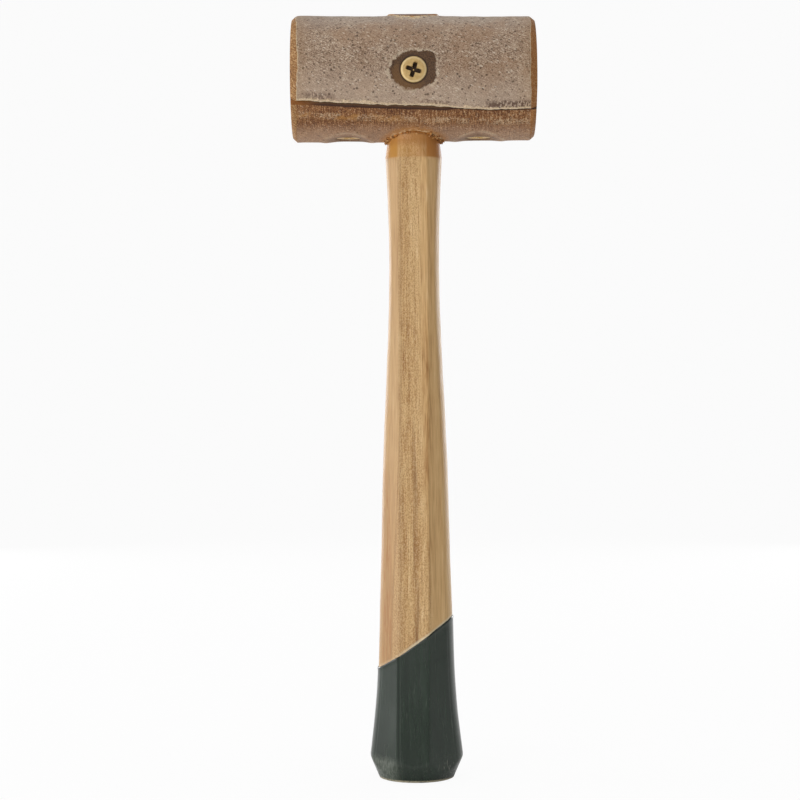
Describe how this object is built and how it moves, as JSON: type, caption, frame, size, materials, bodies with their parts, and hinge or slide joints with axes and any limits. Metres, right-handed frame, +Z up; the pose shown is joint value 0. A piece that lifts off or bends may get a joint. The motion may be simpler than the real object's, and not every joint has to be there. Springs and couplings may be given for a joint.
{
  "type": "rawhide mallet",
  "caption": "Rawhide mallet: a tightly rolled hide head on a waisted octagonal hardwood handle with a slant-dipped green grip end.",
  "frame": {"origin": "centre of the flat painted butt, which the mallet stands on", "axes": "+Z up the handle towards the head, +X along the head from one striking face to the other, -Y is the front with the head screw"},
  "size_m": [0.0856, 0.0444, 0.2699],
  "materials": {
    "rawhide": "matt, dry, scuffed hide",
    "handle_wood": "satin lacquer over pale hardwood",
    "green_coating": "glossy dipped enamel",
    "hide_glue": "amber, half clear",
    "screw_brass": "satin brass"
  },
  "bodies": {
    "root": {"rawhide_coil": "rawhide", "handle": "handle_wood", "grip_coating": "green_coating", "glue_fillet": "hide_glue", "head_screw": "screw_brass", "coil_screw_left": "screw_brass", "coil_screw_right": "screw_brass"}
  },
  "joints": []
}
